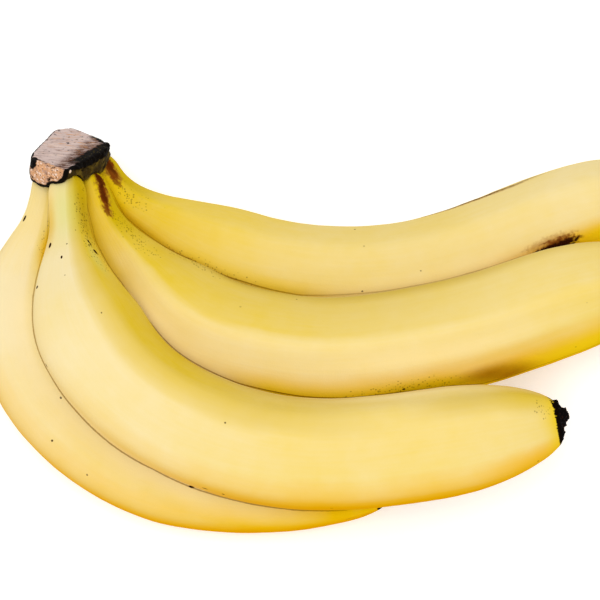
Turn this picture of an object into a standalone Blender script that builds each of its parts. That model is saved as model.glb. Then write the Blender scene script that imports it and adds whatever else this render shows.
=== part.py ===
"""A hand of four bananas that grew together on one crown, cut off and laid on its side.

Metres, +Z up. The origin is on the surface that the bunch lies on, under the middle of
its bounding box. +X runs along the bunch, from the crown to the tips.
"""

import math
import random

import bmesh
import bpy
import numpy as np
from mathutils import Vector

GAP = 0.0003  # between pieces that touch

# The section of a finger is a circle pressed towards a polygon with rounded ridges.
RIDGE_SHARPNESS = 9.0
BODY_FLATNESS = 0.45
NECK_FLATNESS = 0.75
TIP_FLATNESS = 0.80
SIDES_PER_FLAT = 5
UNTWIST_PAST_SHOULDER = 0.015

# Rings of points along a finger
NECK_RINGS = 4
SHOULDER_RINGS = 9
BODY_RINGS = 13
TIP_RINGS = 10
POINTS_PER_SPAN = 24

# The blunt tip is half an oval of this length, cut off short of its end by the flower scar.
TIP_LENGTH = 0.048
SCAR_CUT = 0.0042
TIP_POWER = 2.1

# Inside the crown the neck narrows to a rounded root of this length. The root is half an
# oval, less this share of it at the end.
ROOT_LENGTH = 0.0070
ROOT_CUT = 0.16

# Each finger: its middle line from the crown to the tip, the radii of its body and neck,
# where its shoulder starts and ends, and the directions that its flats face, in degrees
# from straight up towards the inside of its bend.
FINGERS = (
    {
        "name": "banana_1",
        "line": (
            (-0.1010, 0.0520, 0.0310),
            (-0.1020, 0.0430, 0.0310),
            (-0.1040, 0.0335, 0.0275),
            (-0.1075, 0.0220, 0.0215),
            (-0.1095, 0.0070, 0.0172),
            (-0.1060, -0.0130, 0.0165),
            (-0.0955, -0.0290, 0.0165),
            (-0.0810, -0.0410, 0.0165),
            (-0.0635, -0.0495, 0.0165),
            (-0.0450, -0.0530, 0.0165),
            (-0.0255, -0.0535, 0.0170),
            (-0.0065, -0.0535, 0.0180),
            (0.0125, -0.0550, 0.0195),
        ),
        "radius": 0.0179,
        "neck": 0.0060,
        "shoulder": (0.009, 0.053),
        "flats": (-4, 64, 128, 188, 268),
        "neck_twist": 0,
    },
    {
        "name": "banana_2",
        "line": (
            (-0.0940, 0.0480, 0.0415),
            (-0.0940, 0.0395, 0.0432),
            (-0.0930, 0.0300, 0.0460),
            (-0.0915, 0.0175, 0.0497),
            (-0.0885, 0.0020, 0.0531),
            (-0.0805, -0.0160, 0.0556),
            (-0.0645, -0.0320, 0.0549),
            (-0.0440, -0.0420, 0.0535),
            (-0.0220, -0.0475, 0.0530),
            (0.0005, -0.0480, 0.0525),
            (0.0235, -0.0455, 0.0520),
            (0.0455, -0.0415, 0.0515),
            (0.0680, -0.0370, 0.0500),
        ),
        "radius": 0.0189,
        "neck": 0.0062,
        "shoulder": (0.017, 0.062),
        "flats": (-11, 73, 137, 200, 267),
        "neck_twist": -12,
    },
    {
        "name": "banana_3",
        "line": (
            (-0.0890, 0.0510, 0.0315),
            (-0.0865, 0.0425, 0.0310),
            (-0.0825, 0.0335, 0.0308),
            (-0.0755, 0.0225, 0.0306),
            (-0.0660, 0.0095, 0.0313),
            (-0.0505, -0.0030, 0.0337),
            (-0.0280, -0.0105, 0.0358),
            (-0.0045, -0.0130, 0.0365),
            (0.0195, -0.0100, 0.0365),
            (0.0430, -0.0050, 0.0360),
            (0.0655, 0.0025, 0.0360),
            (0.0870, 0.0092, 0.0355),
            (0.1060, 0.0140, 0.0355),
        ),
        "radius": 0.0185,
        "neck": 0.0060,
        "shoulder": (0.014, 0.062),
        "flats": (43, 117, 189, 255, 317),
        "neck_twist": 15,
    },
    {
        "name": "banana_4",
        "line": (
            (-0.0870, 0.0595, 0.0205),
            (-0.0830, 0.0515, 0.0200),
            (-0.0760, 0.0445, 0.0180),
            (-0.0650, 0.0375, 0.0165),
            (-0.0510, 0.0301, 0.0155),
            (-0.0325, 0.0228, 0.0155),
            (-0.0100, 0.0190, 0.0155),
            (0.0125, 0.0190, 0.0155),
            (0.0345, 0.0235, 0.0155),
            (0.0560, 0.0315, 0.0155),
            (0.0770, 0.0395, 0.0155),
            (0.0990, 0.0445, 0.0160),
            (0.1207, 0.0455, 0.0175),
        ),
        "radius": 0.0163,
        "neck": 0.0060,
        "shoulder": (0.014, 0.062),
        "flats": (-14, 58, 122, 182, 242, 300),
        "neck_twist": 0,
    },
)

# The crown's main cut is one plane, through this point and tipped back by this angle.
# Its outline is given by x and z, and the plane gives y.
CUT_POINT = (-0.0971, 0.0481, 0.0515)
CUT_TILT = math.radians(34)
CUT_OUTLINE = (
    (-0.0971, 0.0515),
    (-0.1064, 0.0461),
    (-0.1068, 0.0391),
    (-0.1035, 0.0287),
    (-0.1009, 0.0202),
    (-0.0951, 0.0189),
    (-0.0891, 0.0247),
    (-0.0843, 0.0283),
    (-0.0816, 0.0327),
    (-0.0822, 0.0375),
    (-0.0885, 0.0430),
)

# The smaller cut beside it, where a neighbour was taken off, is three corners of a plane
# and an outline on it, given by x and z.
SIDE_CUT_PLANE = ((-0.0940, 0.0449, 0.0520), (-0.0999, 0.0423, 0.0450), (-0.1076, 0.0500, 0.0400))
SIDE_CUT_OUTLINE = (
    (-0.0972, 0.0500),
    (-0.0942, 0.0524),
    (-0.0940, 0.0520),
    (-0.0970, 0.0482),
    (-0.0999, 0.0451),
    (-0.1036, 0.0419),
    (-0.1069, 0.0395),
    (-0.1076, 0.0400),
    (-0.1065, 0.0419),
)

# Where the crown's skin ends on the necks, from the left side of the first finger,
# underneath, to the right side of the second
SKIRT = (
    (-0.1078, 0.0486, 0.0310),
    (-0.1065, 0.0480, 0.0240),
    (-0.0970, 0.0520, 0.0155),
    (-0.0850, 0.0565, 0.0135),
    (-0.0809, 0.0587, 0.0200),
    (-0.0828, 0.0529, 0.0255),
    (-0.0862, 0.0482, 0.0345),
    (-0.0885, 0.0465, 0.0400),
)
CROWN_EDGE = 0.0008
FLAT_BELOW = math.radians(1)  # corners flatter than this are one face
WORN_ABOVE = math.radians(20)  # edges sharper than this are worn round
SHARP_ABOVE = math.radians(35)  # edges sharper than this are shaded as edges

# The dried flower left on each tip: height and radius of its rings, from the peel outwards
FLOWER_RINGS = (
    (0.0000, 0.0062),
    (0.0010, 0.0074),
    (0.0024, 0.0066),
    (0.0036, 0.0042),
    (0.0050, 0.0016),
)
FLOWER_SIDES = 14
FLOWER_RAGGEDNESS = 0.16
FLOWER_SEED = 20

PEEL = (0.84, 0.62, 0.14)
CROWN_SKIN = (0.36, 0.28, 0.22)
DRIED = (0.015, 0.011, 0.008)


def clear_scene():
    for thing in list(bpy.data.objects):
        bpy.data.objects.remove(thing, do_unlink=True)


def collection(name, hidden=False):
    made = bpy.data.collections.new(name)
    bpy.context.scene.collection.children.link(made)
    made.hide_render = hidden
    return made


def material(name, colour, roughness):
    made = bpy.data.materials.new(name)
    made.use_nodes = True
    shader = made.node_tree.nodes["Principled BSDF"]
    shader.inputs["Base Color"].default_value = (*colour, 1.0)
    shader.inputs["Roughness"].default_value = roughness
    shader.inputs["Metallic"].default_value = 0.0
    return made


def spread(start, end, count):
    """Evenly spaced numbers from start up to, but not including, end."""
    return [start + (end - start) * k / count for k in range(count)]


def ease(share):
    """0 to 1 with a soft start and end."""
    share = min(max(share, 0.0), 1.0)
    return share * share * (3 - 2 * share)


class Line:
    """A smooth curve through points: a natural cubic spline, measured along its length."""

    def __init__(self, points):
        points = np.array(points)
        spans = np.linalg.norm(np.diff(points, axis=0), axis=1)
        bends = self.bends(points, spans)
        pieces = []
        for i, span in enumerate(spans):
            after = np.linspace(0, span, POINTS_PER_SPAN, endpoint=False)[:, None]
            before = span - after
            pieces.append(
                (bends[i] * before**3 + bends[i + 1] * after**3) / (6 * span)
                + (points[i] / span - bends[i] * span / 6) * before
                + (points[i + 1] / span - bends[i + 1] * span / 6) * after
            )
        self.points = np.vstack([*pieces, points[-1:]])
        steps = np.linalg.norm(np.diff(self.points, axis=0), axis=1)
        self.marks = np.concatenate([[0], np.cumsum(steps)])
        self.length = float(self.marks[-1])

    @staticmethod
    def bends(points, spans):
        """The curve's second derivative at each point, zero at both ends."""
        rows = np.eye(len(points))
        pull = np.zeros_like(points)
        for i in range(1, len(points) - 1):
            before, after = spans[i - 1], spans[i]
            rows[i, i - 1 : i + 2] = before, 2 * (before + after), after
            slope_after = (points[i + 1] - points[i]) / after
            slope_before = (points[i] - points[i - 1]) / before
            pull[i] = 6 * (slope_after - slope_before)
        return np.linalg.solve(rows, pull)

    def at(self, distance):
        return Vector([np.interp(distance, self.marks, self.points[:, k]) for k in range(3)])

    def direction(self, distance, reach=0.0005):
        ahead = self.at(min(distance + reach, self.length))
        behind = self.at(max(distance - reach, 0))
        return (ahead - behind).normalized()


def flats_radius(angle, flats):
    """Distance from the middle to a rounded polygon whose flats all stand at 1."""
    total = sum(max(math.cos(angle - math.radians(flat)), 0) ** RIDGE_SHARPNESS for flat in flats)
    return total ** (-1 / RIDGE_SHARPNESS)


def ring_angles(flats):
    """Angles of a ring's points, with one on each ridge between two flats."""
    angles = []
    turned = (*flats[1:], flats[0] + 360)
    after = (*turned[1:], turned[0] + 360)
    for flat, following, third in zip(flats, turned, after):
        start = (flat + following) / 2
        end = (following + third) / 2
        for k in range(SIDES_PER_FLAT):
            angles.append(math.radians(start + (end - start) * k / SIDES_PER_FLAT))
    return angles


def ring_places(finger, length):
    """Distances along the finger at which its rings stand."""
    start, end = finger["shoulder"]
    taper = length - TIP_LENGTH + SCAR_CUT
    places = spread(0, start, NECK_RINGS)
    places += spread(start, end, SHOULDER_RINGS)
    places += spread(end, taper, BODY_RINGS)
    last = math.asin(1 - SCAR_CUT / TIP_LENGTH)
    places += [taper + TIP_LENGTH * math.sin(turn) for turn in spread(0, last, TIP_RINGS - 1)]
    return [*places, length]


def radius_at(finger, place, length):
    start, end = finger["shoulder"]
    into_root = (1 - ROOT_CUT) * max(1 - place / ROOT_LENGTH, 0)
    neck = finger["neck"] * math.sqrt(1 - into_root**2)
    body = neck + (finger["radius"] - neck) * ease((place - start) / (end - start))
    into_tip = max(1 - (length - place + SCAR_CUT) / TIP_LENGTH, 0)
    return body * (1 - into_tip**TIP_POWER) ** (1 / TIP_POWER)


def flatness_at(finger, place, length):
    start, end = finger["shoulder"]
    neck_share = 1 - ease((place - start) / (end - start))
    tip_share = ease(1 - (length - place) / (0.8 * TIP_LENGTH))
    flatness = BODY_FLATNESS + (NECK_FLATNESS - BODY_FLATNESS) * neck_share
    return flatness + (TIP_FLATNESS - flatness) * tip_share


def finger_ring(finger, line, place, swell=0.0):
    """One ring of points round the finger. None lies below the surface under the bunch."""
    flats = finger["flats"]
    angles = ring_angles(flats)
    mean = sum(flats_radius(math.radians(a), flats) for a in range(360)) / 360
    middle, along = line.at(place), line.direction(place)
    up = Vector((0, 0, 1))
    up = (up - up.dot(along) * along).normalized()
    inward = up.cross(along)
    radius = radius_at(finger, place, line.length)
    flatness = flatness_at(finger, place, line.length)
    settle = ease(place / (finger["shoulder"][1] + UNTWIST_PAST_SHOULDER))
    twist = math.radians(finger["neck_twist"]) * (1 - settle)
    ring = []
    for angle in angles:
        shape = 1 - flatness + flatness * flats_radius(angle, flats) / mean
        reach = radius * shape + swell
        turned = angle + twist
        point = middle + reach * (math.cos(turned) * up + math.sin(turned) * inward)
        point.z = max(point.z, 0.0)
        ring.append(point)
    return ring


def loft(name, rings, look, shelf):
    """A closed solid through rings of equal numbers of points."""
    mesh = bmesh.new()
    rows = [[mesh.verts.new(point) for point in ring] for ring in rings]
    for row, following in zip(rows, rows[1:]):
        for k in range(len(row)):
            right = (k + 1) % len(row)
            mesh.faces.new((row[k], row[right], following[right], following[k]))
    mesh.faces.new(reversed(rows[0]))
    mesh.faces.new(rows[-1])
    bmesh.ops.recalc_face_normals(mesh, faces=mesh.faces)
    return finished(name, mesh, look, shelf)


def finished(name, mesh, look, shelf):
    """The bmesh as a smooth-shaded object with its material, in its collection."""
    data = bpy.data.meshes.new(name)
    mesh.to_mesh(data)
    mesh.free()
    data.materials.append(look)
    data.shade_smooth()
    data.set_sharp_from_angle(angle=SHARP_ABOVE)
    made = bpy.data.objects.new(name, data)
    shelf.objects.link(made)
    return made


def make_finger(finger, look, shelf):
    line = Line(finger["line"])
    rings = [finger_ring(finger, line, place) for place in ring_places(finger, line.length)]
    return loft(finger["name"], rings, look, shelf)


def make_socket(finger, look, shelf):
    """The neck's own shape, a gap larger, to cut its seat in the crown."""
    line = Line(finger["line"])
    places = [place for place in ring_places(finger, line.length) if place < finger["shoulder"][1]]
    rings = [finger_ring(finger, line, place, swell=GAP) for place in places]
    back = line.direction(0) * GAP
    rings[0] = [point - back for point in rings[0]]
    socket = loft(finger["name"] + "_socket", rings, look, shelf)
    socket.hide_render = True
    socket.display_type = "WIRE"
    return socket


def make_flower_end(finger, number, look, shelf):
    """The ragged black remains of the flower, a gap clear of the scar at the tip."""
    line = Line(finger["line"])
    along = line.direction(line.length)
    up = Vector((0, 0, 1))
    up = (up - up.dot(along) * along).normalized()
    inward = up.cross(along)
    draw = random.Random(FLOWER_SEED + number)
    base = line.at(line.length) + along * GAP
    rings = []
    for height, radius in FLOWER_RINGS:
        ring = []
        for k in range(FLOWER_SIDES):
            turn = 2 * math.pi * k / FLOWER_SIDES
            reach = radius * (1 + draw.uniform(-FLOWER_RAGGEDNESS, FLOWER_RAGGEDNESS))
            rise = height * (1 + draw.uniform(-FLOWER_RAGGEDNESS, FLOWER_RAGGEDNESS))
            ring.append(base + along * rise + reach * (math.cos(turn) * up + math.sin(turn) * inward))
        rings.append(ring)
    return loft("flower_end_%d" % number, rings, look, shelf)


def on_plane(point, normal, x, z):
    """The point of a plane that has this x and z."""
    y = point.y - (normal.x * (x - point.x) + normal.z * (z - point.z)) / normal.y
    return Vector((x, y, z))


def make_crown(sockets, look, shelf):
    cut_point = Vector(CUT_POINT)
    cut_normal = Vector((0, math.cos(CUT_TILT), math.sin(CUT_TILT)))
    corner, second, third = (Vector(point) for point in SIDE_CUT_PLANE)
    side_normal = (second - corner).cross(third - corner).normalized()
    points = [on_plane(cut_point, cut_normal, x, z) for x, z in CUT_OUTLINE]
    points += [on_plane(corner, side_normal, x, z) for x, z in SIDE_CUT_OUTLINE]
    points += [Vector(point) for point in SKIRT]
    mesh = bmesh.new()
    for point in points:
        mesh.verts.new(point)
    hull = bmesh.ops.convex_hull(mesh, input=mesh.verts)
    spare = [item for item in hull["geom_interior"] if isinstance(item, bmesh.types.BMVert)]
    bmesh.ops.delete(mesh, geom=spare, context="VERTS")
    bmesh.ops.dissolve_limit(mesh, angle_limit=FLAT_BELOW, verts=mesh.verts, edges=mesh.edges)
    bmesh.ops.recalc_face_normals(mesh, faces=mesh.faces)
    crown = finished("crown", mesh, look, shelf)
    bevel = crown.modifiers.new("worn edges", "BEVEL")
    bevel.width = CROWN_EDGE
    bevel.segments = 2
    bevel.limit_method = "ANGLE"
    bevel.angle_limit = WORN_ABOVE
    for socket in sockets:
        cut = crown.modifiers.new(socket.name, "BOOLEAN")
        cut.operation = "DIFFERENCE"
        cut.object = socket
        cut.solver = "EXACT"
    return crown


def main():
    clear_scene()
    bunch = collection("banana_bunch")
    cutters = collection("cutters", hidden=True)
    peel = material("peel", PEEL, 0.45)
    crown_skin = material("crown_skin", CROWN_SKIN, 0.85)
    dried = material("dried_flower", DRIED, 0.9)
    sockets = []
    for number, finger in enumerate(FINGERS, start=1):
        make_finger(finger, peel, bunch)
        make_flower_end(finger, number, dried, bunch)
        sockets.append(make_socket(finger, peel, cutters))
    make_crown(sockets, crown_skin, bunch)


main()
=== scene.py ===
"""Models a hand of four bananas round its packed CAD solids, and sets it on a plain stage."""

import math

import bmesh
import bpy
import numpy as np
from bpy.props import FloatProperty, FloatVectorProperty, IntProperty, PointerProperty
from mathutils import Matrix, Vector
from mathutils.kdtree import KDTree


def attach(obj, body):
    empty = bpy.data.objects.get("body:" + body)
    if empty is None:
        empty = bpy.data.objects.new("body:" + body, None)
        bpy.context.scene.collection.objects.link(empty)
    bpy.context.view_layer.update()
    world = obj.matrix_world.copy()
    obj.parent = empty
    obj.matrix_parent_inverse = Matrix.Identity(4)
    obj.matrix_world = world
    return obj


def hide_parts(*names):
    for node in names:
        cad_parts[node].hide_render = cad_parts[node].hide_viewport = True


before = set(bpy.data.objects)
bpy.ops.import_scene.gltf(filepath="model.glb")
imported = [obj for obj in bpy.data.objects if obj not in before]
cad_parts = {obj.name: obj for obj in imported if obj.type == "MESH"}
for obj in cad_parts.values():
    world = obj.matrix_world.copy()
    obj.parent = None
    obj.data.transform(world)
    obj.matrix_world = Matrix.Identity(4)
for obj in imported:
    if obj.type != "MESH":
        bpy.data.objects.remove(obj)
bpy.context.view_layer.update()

bl_info = {
    "name": "Banana bunch",
    "version": (1, 0, 0),
    "blender": (4, 5, 0),
    "location": "3D View > Sidebar > Bananas",
    "description": "Models a hand of bananas on its cut crown and sets it on a plain stage",
    "category": "Add Mesh",
}

GRAIN = "grain"  # the UV map that runs round and along each finger
RIM = "rim"  # how far the crown's cut faces reach from their rim, 1 from RIM_REACH on
RIM_REACH = 0.004
SECTION_SIDES = 48
POINTS_PER_SPAN = 24
GRAIN_SAMPLES = 400
GRAIN_BATCH = 4000

# The rings of a finger: how many on each stretch, and where it narrows
NECK_RINGS = 5
SHOULDER_RINGS = 9
BODY_RINGS = 14
TIP_RINGS = 10
ROOT_LENGTH = 0.0070
ROOT_CUT = 0.16
TIP_LENGTH = 0.048
TIP_FLATTENS = 0.8  # the share of the tip over which its sides grow flatter
TIP_POWER = 2.1
SCAR_CUT = 0.0042
SCAR_INSETS = (0.0006, 0.0016, 0.0020)
UNTWIST_PAST_SHOULDER = 0.015

# A flower end starts just inside the tip. Each ring stands further out and is so much wider.
FLOWER_SINK = 0.0004
FLOWER_RINGS = ((0.0004, 1.14), (0.0006, 0.90), (0.0008, 0.78), (0.0008, 0.68))
FLOWER_LEAN = 0.5
FLOWER_INSET = 0.0016
FLOWER_NOSE = (0.0022, 0.0010)

# Each finger: its middle line from the crown to the tip, the radii of its body and neck and
# where its shoulder starts and ends, all in millimetres, how far its neck is twisted, and
# the directions that its flats face. Directions are degrees from straight up towards the
# inside of its bend. Then its peel, where shares and places along the length are percent.
# Along the length: top and side tell how creamy it is on top and inside the bend, the
# creaminess being partly the peel's pale tone and partly a painted sheen, and warm_along how
# strong the deep yellow is. By direction: inside tells where the inside begins, dull where the
# faces beyond the inner ridge carry painted shade, and warm where it is deep yellow, partly
# painted shade on the outside of the bend. Lines along it, as directions: the contact with the
# next finger, the pale edge, which is a painted highlight along the outline, and the worn line.
# creases and wears tell how strong the painted shadow line at the contact and the worn line
# are, deepens and lightens how far the peel beside the contact turns deeper with painted shade
# or paler with painted light.
# Tones and streaks: colour, direction, place, half width and half length in millimetres,
# and strength. Specks and speckles are the same without a colour. Tones in dull, crease and
# shade are painted shade, and tones in pale are painted light.
BANANA_1 = dict(
    name="banana_1",
    line=(
        (-101, 52, 31), (-102, 43, 31), (-104, 33.5, 27.5), (-107.5, 22, 21.5), (-109.5, 7, 17.2),
        (-106, -13, 16.5), (-95.5, -29, 16.5), (-81, -41, 16.5), (-63.5, -49.5, 16.5),
        (-45, -53, 16.5), (-25.5, -53.5, 17), (-6.5, -53.5, 18), (12.5, -55, 19.5),
    ),
    radius=17.9, neck=6, shoulder=(9, 53), neck_twist=0, flats=(-4, 64, 128, 188, 268),
    top={8: 70, 18: 100, 30: 93, 40: 78, 52: 58, 67: 36, 80: 10, 92: 0},
    side={0: 10, 100: 10},
    inside={2: 0, 22: 80, 40: 100, 150: 60, 180: 30},
    dull={0: 0, 30: 30, 180: 0},
    warm={-180: 30, -120: 80, -80: 100, -60: 85, -45: 40, -28: 0},
    warm_along={0: 0, 30: 50, 50: 85, 70: 100},
    contact={
        6: 14, 10: 27, 14: 22, 18: 16, 22: 12, 30: 9, 38: 9, 46: 5, 54: -1, 62: -6, 70: -18,
        78: -29, 86: -37, 94: -42,
    },
    creases={5: 50, 20: 60, 30: 70, 100: 75},
    deepens={0: 30, 16: 0, 100: 0},
    lightens={14: 0, 24: 45, 50: 50, 66: 70, 80: 40, 92: 0},
    tones=(("warm", 26, 12.5, 5, 10, 60), ("pale", 16, 7, 5, 10, 30), ("pale", -62, 10, 6, 14, 50)),
    streaks=(("brown", -66, 95, 0.8, 3.5, 70), ("brown", -72, 97.5, 0.7, 2.5, 90)),
    specks=(
        (-45, 8.4, 1.1, 1.5, 100), (-36, 46.2, 0.55, 0.55, 90), (3, 42.4, 0.5, 0.6, 80),
        (-15, 68.4, 0.6, 1.2, 100),
    ),
    speckles=((18, 11, 4, 10, 60),),
)
BANANA_2 = dict(
    name="banana_2",
    line=(
        (-94, 48, 41.5), (-94, 39.5, 43.2), (-93, 30, 46), (-91.5, 17.5, 49.7), (-88.5, 2, 53.1),
        (-80.5, -16, 55.6), (-64.5, -32, 54.9), (-44, -42, 53.5), (-22, -47.5, 53),
        (0.5, -48, 52.5), (23.5, -45.5, 52), (45.5, -41.5, 51.5), (68, -37, 50),
    ),
    radius=18.9, neck=6.2, shoulder=(17, 62), neck_twist=-12, flats=(-11, 73, 137, 200, 267),
    top={10: 79, 18: 88, 30: 82, 40: 75, 52: 58, 67: 48, 80: 50, 95: 50},
    side={10: 0, 20: 3, 40: 8, 52: 29, 67: 46, 80: 57, 92: 47},
    inside={6: 0, 22: 50, 37: 100, 150: 80, 180: 30},
    dull={6: 0, 18: 55, 30: 90, 46: 45, 90: 30, 180: 0},
    warm={-180: 30, -120: 80, -75: 100, -60: 90, -47: 40, -33: 0},
    warm_along={15: 0, 35: 40, 50: 75, 65: 100},
    edge={14: 90, 22: 90, 30: 93, 38: 90, 46: 87, 58: 83, 90: 83},
    tones=(
        ("pale", -82, 33, 7, 60, 30), ("dull", -45, 9, 6, 14, 40), ("crease", 70, 8, 14, 18, 25),
        ("olive", 30, 96, 10, 15, 45), ("gold", 34, 95, 9, 18, 50), ("warm", -52, 96, 9, 30, 80),
        ("warm", -50, 8, 10, 18, 50), ("green", 0, 7, 22, 20, 50), ("green", 52, 16, 8, 12, 40),
        ("gold", 0, 100, 46, 9, 100), ("pale", 66, 80, 7, 50, 50), ("dull", 30, 88, 7, 34, 60),
    ),
    streaks=(),
    specks=(
        (66, 14.3, 3, 1.3, 100), (55, 12.7, 1.7, 0.9, 100), (59, 13.1, 1.4, 1, 90),
        (50, 13.6, 1.2, 0.7, 80), (-10, 15.4, 1, 0.7, 100), (-50, 18.8, 1, 0.6, 90),
        (-65, 28, 0.9, 0.8, 100), (-74, 51.2, 0.8, 1.2, 100), (-73, 53.6, 0.8, 0.6, 100),
        (-75, 66.9, 0.4, 0.8, 70), (25, 11.1, 0.6, 0.4, 60), (-41, 12.6, 1.3, 1.5, 100),
    ),
    speckles=((62, 10, 16, 26, 100), (16, 97.6, 7, 5, 80)),
)
BANANA_3 = dict(
    name="banana_3",
    line=(
        (-89, 51, 31.5), (-86.5, 42.5, 31), (-82.5, 33.5, 30.8), (-75.5, 22.5, 30.6),
        (-66, 9.5, 31.3), (-50.5, -3, 33.7), (-28, -10.5, 35.8), (-4.5, -13, 36.5),
        (19.5, -10, 36.5), (43, -5, 36), (65.5, 2.5, 36), (87, 9.2, 35.5), (106, 14, 35.5),
    ),
    radius=18.5, neck=6, shoulder=(14, 62), neck_twist=15, flats=(43, 117, 189, 255, 317),
    top={5: 10, 10: 20, 18: 55, 27: 67, 40: 72, 52: 70, 67: 61, 80: 48, 92: 33},
    side={10: 0, 18: 13, 27: 22, 40: 30, 52: 41, 67: 48, 80: 55, 92: 46},
    inside={-8: 0, 4: 35, 10: 100, 150: 80, 180: 30},
    dull={0: 0, 12: 25, 45: 45, 60: 50, 80: 80, 180: 0},
    warm={-180: 30, -120: 80, -75: 100, -58: 85, -45: 40, -28: 0},
    warm_along={35: 20, 50: 60, 65: 100},
    contact={
        2: -29, 6: -47, 10: -65, 14: -53, 18: -38, 22: -31, 26: -34, 30: -43, 38: -55, 46: -59,
        58: -61, 66: -65, 70: -74,
    },
    creases={0: 60, 20: 60, 34: 70, 42: 90, 90: 90},
    deepens={0: 60, 16: 60, 26: 10, 36: 20, 42: 95, 72: 95, 80: 0},
    lightens={17: 0, 24: 60, 32: 50, 38: 0},
    edge={2: 72, 18: 77, 34: 81, 50: 79, 90: 80},
    tones=(
        ("dull", 74, 65, 7, 110, 60), ("crease", 80, 32, 5, 34, 35), ("olive", 2, 9, 4, 10, 40),
        ("pale", -22, 66, 6, 60, 40), ("gold", -66, 85, 9, 44, 75),
        ("shade", -60, 71.2, 5.5, 16, 85), ("shade", -70, 74, 5.5, 14, 90),
        # Painted shade: olive darkening beside the contact with banana_2.
        ("olive", -62, 62, 6, 22, 60),
    ),
    streaks=(
        ("brown", 28, 3.6, 15, 12, 80), ("brown", 14, 6.2, 9, 9, 70), ("red", 38, 1.6, 13, 6, 100),
        ("red", 28, 3.4, 11, 7, 100), ("red", 18, 5.2, 8.5, 7, 100), ("red", 8, 7, 5, 5, 80),
        ("dark", 36, 1.8, 9, 6, 60), ("dark", 22, 4.4, 6, 8, 50),
    ),
    specks=((-58, 59.2, 0.6, 0.7, 90),),
    speckles=((30, 12, 12, 20, 80), (-56, 60, 5, 26, 80), (68, 24, 4, 24, 80)),
)
BANANA_4 = dict(
    name="banana_4",
    line=(
        (-87, 59.5, 20.5), (-83, 51.5, 20), (-76, 44.5, 18), (-65, 37.5, 16.5), (-51, 30.1, 15.5),
        (-32.5, 22.8, 15.5), (-10, 19, 15.5), (12.5, 19, 15.5), (34.5, 23.5, 15.5),
        (56, 31.5, 15.5), (77, 39.5, 15.5), (99, 44.5, 16), (120.7, 45.5, 17.5),
    ),
    radius=16.3, neck=6, shoulder=(14, 62), neck_twist=0, flats=(-14, 58, 122, 182, 242, 300),
    top={6: 0, 10: 5, 18: 20, 27: 34, 40: 60, 52: 62, 67: 69, 80: 70},
    side={6: 8, 12: 20, 18: 26, 27: 28, 40: 48, 52: 50, 67: 60, 80: 72},
    inside={0: 0, 40: 100, 150: 80, 180: 30},
    dull={10: 15, 90: 15, 180: 0},
    warm={-180: 30, -120: 80, -60: 100, -42: 90, -32: 35, -20: 0},
    warm_along={10: 50, 30: 25, 60: 30, 75: 100},
    contact={
        2: -10, 6: -17, 10: -55, 14: -53, 18: -44, 22: -36, 30: -36, 38: -40, 46: -34, 54: -31,
        62: -33, 70: -37, 78: -44, 82: -52,
    },
    creases={0: 50, 20: 60, 30: 80, 36: 60, 42: 40, 66: 40, 80: 50},
    deepens={0: 50, 12: 60, 36: 70, 46: 0, 100: 0},
    worn={50: 90, 58.3: 87, 61.2: 84, 65: 81, 68.8: 78, 74.5: 75, 81: 82},
    wears={50: 0, 56: 90, 70: 100, 75: 60, 80: 0},
    lightens={38: 0, 50: 25, 66: 30, 72: 0},
    tones=(("gold", -46, 83, 8, 22, 90), ("warm", -40, 76, 4, 18, 40)),
    streaks=(
        ("brown", 26, 3.8, 13, 9, 80), ("red", 36, 2.4, 10, 6, 100), ("red", 26, 4, 8, 5, 90),
        ("red", 14, 5.4, 4.5, 4, 70), ("dark", 30, 3, 5, 6, 50), ("brown", -34, 75.2, 4.6, 16, 45),
        ("red", -38, 76.4, 3.6, 13, 90), ("dark", -42, 76.8, 3.6, 11, 100),
        ("dark", -40, 74.4, 1.8, 9, 100), ("brown", -42, 26, 3, 24, 70),
    ),
    specks=((-31, 46.9, 0.4, 0.5, 80), (-14, 55.5, 0.35, 0.4, 60)),
    speckles=((5, 9, 10, 16, 80), (-38, 26, 4, 24, 100)),
)


def in_metres(finger):
    """A finger with its sizes turned from millimetres to metres."""
    sizes = ("line", "radius", "neck", "shoulder")
    return finger | {size: np.array(finger[size]) / 1000 for size in sizes}


FINGERS = [in_metres(finger) for finger in (BANANA_1, BANANA_2, BANANA_3, BANANA_4)]

# The crown's two cuts: a point on each and the direction that it faces
MAIN_CUT = ((-0.0971, 0.0481, 0.0515), (0.0, 0.829, 0.559))
SIDE_CUT = ((-0.0940, 0.0449, 0.0520), (-0.691, -0.251, 0.678))
# The main cut's rim above the necks: where it starts, its direction, and inwards across the cut
RIM_START = (-0.0971, 0.0481, 0.0515)
ALONG_RIM = (0.591, 0.4535, -0.667)
INTO_CUT = (-0.8065, 0.3304, -0.490)
# The black patch beside the side cut, and the painted glint, a small pale spot, at its other end:
# middle and radii
PATCH = ((-0.1060, 0.0518, 0.0448), (0.0024, 0.0032, 0.0038))
PAINTED_GLINT = ((-0.0926, 0.0468, 0.0512), (0.0007, 0.0011, 0.0011))

# How far below the cuts the wrinkled skin starts, the crust's place and depth below the
# main cut at the rim's start, and how much deeper it reaches CRUST_WIDENS along the rim
SKIN_BELOW = 0.0008
CRUST_TOP = 0.0002
CRUST_DEPTH = 0.0010
CRUST_DEEPER = 0.0018
CRUST_WIDENS = 0.014
CRUST_INTO = 0.003

# The photograph's viewpoint, and the stage
CAMERA_TARGET = (-0.016, 0.0045, 0.045)
CAMERA_ELEVATION = math.radians(80)
CAMERA_DISTANCE = 0.9
CAMERA_LENS = 162.0
CAMERA_SEES = (0.01, 20)
LAMP_PLACE = (-0.1, -0.12, 1.5)
FLOOR_RADIUS = 4.0


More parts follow.
